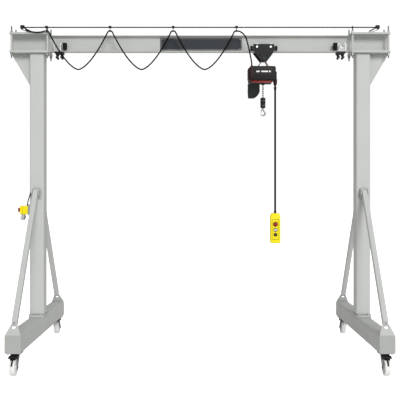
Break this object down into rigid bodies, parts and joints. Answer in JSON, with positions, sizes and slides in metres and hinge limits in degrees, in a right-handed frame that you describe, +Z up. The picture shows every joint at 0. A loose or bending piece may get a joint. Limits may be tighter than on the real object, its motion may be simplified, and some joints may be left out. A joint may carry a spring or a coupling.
{
  "type": "portable gantry crane",
  "caption": "Portable gantry crane on castors: braced steel stands carry an I-section girder with a travelling electric chain hoist, festoon cable and hanging push-button control.",
  "frame": {"origin": "on the floor, under the middle of the girder", "axes": "+X along the girder to the right seen from the pendant's button side, +Y away from that side along the base beams, +Z up"},
  "size_m": [4.65, 2.51, 4.003],
  "materials": {
    "frame_paint": "light grey powder coat, semi-gloss",
    "brace_paint": "pale grey powder coat, semi-gloss",
    "zinc": "bright zinc plate",
    "steel": "bare machined steel",
    "chain_steel": "zinc-plated alloy chain steel",
    "charcoal_paint": "charcoal powder coat, satin",
    "black_rubber": "matt black",
    "anthracite_plate": "anthracite sheet, satin",
    "anthracite_plastic": "moulded grain",
    "red_cover": "red enamel, satin",
    "red_plastic": "glossy",
    "yellow_plastic": "moulded, fine grain",
    "grey_plastic": "moulded, satin",
    "white_plastic": "glossy",
    "polyamide": "cast polyamide, satin"
  },
  "bodies": {
    "frame": {"girder": "frame_paint", "left_column": "frame_paint", "right_column": "frame_paint", "left_base_beam": "frame_paint", "right_base_beam": "frame_paint", "sign_plate": "anthracite_plate", "left_front_brace": "brace_paint", "left_back_brace": "brace_paint", "right_front_brace": "brace_paint", "right_back_brace": "brace_paint", "left_girder_clamp": "zinc", "right_girder_clamp": "zinc", "left_end_stop": "zinc", "right_end_stop": "zinc", "left_front_buffer": "black_rubber", "left_back_buffer": "black_rubber", "right_front_buffer": "black_rubber", "right_back_buffer": "black_rubber", "left_wire_bracket": "grey_plastic", "right_wire_bracket": "grey_plastic", "festoon_wire": "black_rubber", "fixed_cable_clip": "black_rubber", "festoon_cable": "black_rubber", "switch_box": "yellow_plastic", "power_inlet": "grey_plastic", "supply_cable": "grey_plastic"},
    "trolley": {"trolley_front_plate": "charcoal_paint", "trolley_back_plate": "charcoal_paint", "suspension_bolt": "steel"},
    "trolley_front_left_wheel": {"trolley_front_left_wheel": "zinc"},
    "trolley_front_right_wheel": {"trolley_front_right_wheel": "zinc"},
    "trolley_back_left_wheel": {"trolley_back_left_wheel": "zinc"},
    "trolley_back_right_wheel": {"trolley_back_right_wheel": "zinc"},
    "cable_clip_1": {"cable_clip_1": "black_rubber"},
    "cable_clip_2": {"cable_clip_2": "black_rubber"},
    "cable_clip_3": {"cable_clip_3": "black_rubber"},
    "hoist": {"hoist_housing": "charcoal_paint", "hoist_bottom_cover": "red_cover", "hoist_hanger": "steel", "hoist_motor": "steel", "chain_bag": "anthracite_plastic", "load_chain": "chain_steel"},
    "chain_sprocket": {"chain_sprocket": "steel"},
    "hook_block": {"hook_block": "charcoal_paint"},
    "hook": {"hook": "steel"},
    "hook_latch": {"hook_latch": "zinc"},
    "pendant": {"pendant_cable": "black_rubber", "pendant_housing": "yellow_plastic"},
    "stop_button": {"stop_button": "red_plastic"},
    "up_button": {"up_button": "white_plastic"},
    "down_button": {"down_button": "black_rubber"},
    "switch_handle": {"switch_handle": "red_plastic"},
    "left_front_castor_fork": {"left_front_castor_fork": "zinc"},
    "left_front_castor_wheel": {"left_front_castor_wheel": "polyamide"},
    "left_back_castor_fork": {"left_back_castor_fork": "zinc"},
    "left_back_castor_wheel": {"left_back_castor_wheel": "polyamide"},
    "right_front_castor_fork": {"right_front_castor_fork": "zinc"},
    "right_front_castor_wheel": {"right_front_castor_wheel": "polyamide"},
    "right_back_castor_fork": {"right_back_castor_fork": "zinc"},
    "right_back_castor_wheel": {"right_back_castor_wheel": "polyamide"}
  },
  "joints": [
    {"name": "trolley_travel", "type": "slide", "parent": "frame", "child": "trolley", "axis": [1, 0, 0], "range_m": [-2.252, 0.686], "deforming": ["festoon_cable"]},
    {"name": "trolley_front_left_wheel_spin", "type": "hinge", "parent": "trolley", "child": "trolley_front_left_wheel", "pos_m": [0.699, 0, 3.753], "axis": [0, 1, 0], "continuous": true},
    {"name": "trolley_front_right_wheel_spin", "type": "hinge", "parent": "trolley", "child": "trolley_front_right_wheel", "pos_m": [0.867, 0, 3.753], "axis": [0, 1, 0], "continuous": true},
    {"name": "trolley_back_left_wheel_spin", "type": "hinge", "parent": "trolley", "child": "trolley_back_left_wheel", "pos_m": [0.699, 0, 3.753], "axis": [0, 1, 0], "continuous": true},
    {"name": "trolley_back_right_wheel_spin", "type": "hinge", "parent": "trolley", "child": "trolley_back_right_wheel", "pos_m": [0.867, 0, 3.753], "axis": [0, 1, 0], "continuous": true},
    {"name": "cable_clip_1_slide", "type": "slide", "parent": "frame", "child": "cable_clip_1", "axis": [1, 0, 0], "range_m": [-0.6583, 0.2019]},
    {"name": "cable_clip_2_slide", "type": "slide", "parent": "frame", "child": "cable_clip_2", "axis": [1, 0, 0], "range_m": [-1.3112, 0.4008]},
    {"name": "cable_clip_3_slide", "type": "slide", "parent": "frame", "child": "cable_clip_3", "axis": [1, 0, 0], "range_m": [-1.965, 0.6]},
    {"name": "hoist_swing", "type": "hinge", "parent": "trolley", "child": "hoist", "pos_m": [0.783, 0, 3.612], "axis": [0, 1, 0], "range_deg": [-5, 5]},
    {"name": "sprocket_turn", "type": "hinge", "parent": "hoist", "child": "chain_sprocket", "pos_m": [0.7405, 0, 3.404], "axis": [0, 1, 0], "continuous": true},
    {"name": "hook_lift", "type": "slide", "parent": "hoist", "child": "hook_block", "axis": [0, 0, 1], "range_m": [-2.7, 0.1], "deforming": ["load_chain"]},
    {"name": "hook_swivel", "type": "hinge", "parent": "hook_block", "child": "hook", "pos_m": [0.778, 0, 3], "axis": [0, 0, 1], "continuous": true},
    {"name": "latch_open", "type": "hinge", "parent": "hook", "child": "hook_latch", "pos_m": [0.764, 0, 2.988], "axis": [0, 1, 0], "range_deg": [-38, 0], "stiffness_Nm_per_rad": 0.3, "springref_deg": 11.46},
    {"name": "pendant_swing", "type": "hinge", "parent": "hoist", "child": "pendant", "pos_m": [0.923, -0.06, 3.285], "axis": [1, 0, 0], "range_deg": [-20, 20]},
    {"name": "stop_button_press", "type": "slide", "parent": "pendant", "child": "stop_button", "axis": [0, 1, 0], "range_m": [0, 0.005], "stiffness_N_per_m": 600, "springref_m": -0.002},
    {"name": "up_button_press", "type": "slide", "parent": "pendant", "child": "up_button", "axis": [0, 1, 0], "range_m": [0, 0.004], "stiffness_N_per_m": 600, "springref_m": -0.002},
    {"name": "down_button_press", "type": "slide", "parent": "pendant", "child": "down_button", "axis": [0, 1, 0], "range_m": [0, 0.004], "stiffness_N_per_m": 600, "springref_m": -0.002},
    {"name": "switch_turn", "type": "hinge", "parent": "frame", "child": "switch_handle", "pos_m": [-2.217, 0, 1.752], "axis": [1, 0, 0], "range_deg": [0, 90]},
    {"name": "left_front_castor_swivel", "type": "hinge", "parent": "frame", "child": "left_front_castor_fork", "pos_m": [-2, -1.11, 0.2], "axis": [0, 0, 1], "continuous": true},
    {"name": "left_front_castor_roll", "type": "hinge", "parent": "left_front_castor_fork", "child": "left_front_castor_wheel", "pos_m": [-2, -1.165, 0.09], "axis": [1, 0, 0], "continuous": true},
    {"name": "left_back_castor_swivel", "type": "hinge", "parent": "frame", "child": "left_back_castor_fork", "pos_m": [-2, 1.11, 0.2], "axis": [0, 0, 1], "continuous": true},
    {"name": "left_back_castor_roll", "type": "hinge", "parent": "left_back_castor_fork", "child": "left_back_castor_wheel", "pos_m": [-2, 1.165, 0.09], "axis": [1, 0, 0], "continuous": true},
    {"name": "right_front_castor_swivel", "type": "hinge", "parent": "frame", "child": "right_front_castor_fork", "pos_m": [2, -1.11, 0.2], "axis": [0, 0, 1], "continuous": true},
    {"name": "right_front_castor_roll", "type": "hinge", "parent": "right_front_castor_fork", "child": "right_front_castor_wheel", "pos_m": [2, -1.165, 0.09], "axis": [1, 0, 0], "continuous": true},
    {"name": "right_back_castor_swivel", "type": "hinge", "parent": "frame", "child": "right_back_castor_fork", "pos_m": [2, 1.11, 0.2], "axis": [0, 0, 1], "continuous": true},
    {"name": "right_back_castor_roll", "type": "hinge", "parent": "right_back_castor_fork", "child": "right_back_castor_wheel", "pos_m": [2, 1.165, 0.09], "axis": [1, 0, 0], "continuous": true}
  ],
  "couplings": [
    {"joint": "trolley_front_left_wheel_spin", "follows": "trolley_travel", "rad_per_m": 22.624},
    {"joint": "trolley_front_right_wheel_spin", "follows": "trolley_travel", "rad_per_m": 22.624},
    {"joint": "trolley_back_left_wheel_spin", "follows": "trolley_travel", "rad_per_m": 22.624},
    {"joint": "trolley_back_right_wheel_spin", "follows": "trolley_travel", "rad_per_m": 22.624},
    {"joint": "cable_clip_1_slide", "follows": "trolley_travel", "ratio": 0.29143},
    {"joint": "cable_clip_2_slide", "follows": "trolley_travel", "ratio": 0.58135},
    {"joint": "cable_clip_3_slide", "follows": "trolley_travel", "ratio": 0.87165},
    {"joint": "sprocket_turn", "follows": "hook_lift", "rad_per_m": -26.667}
  ]
}
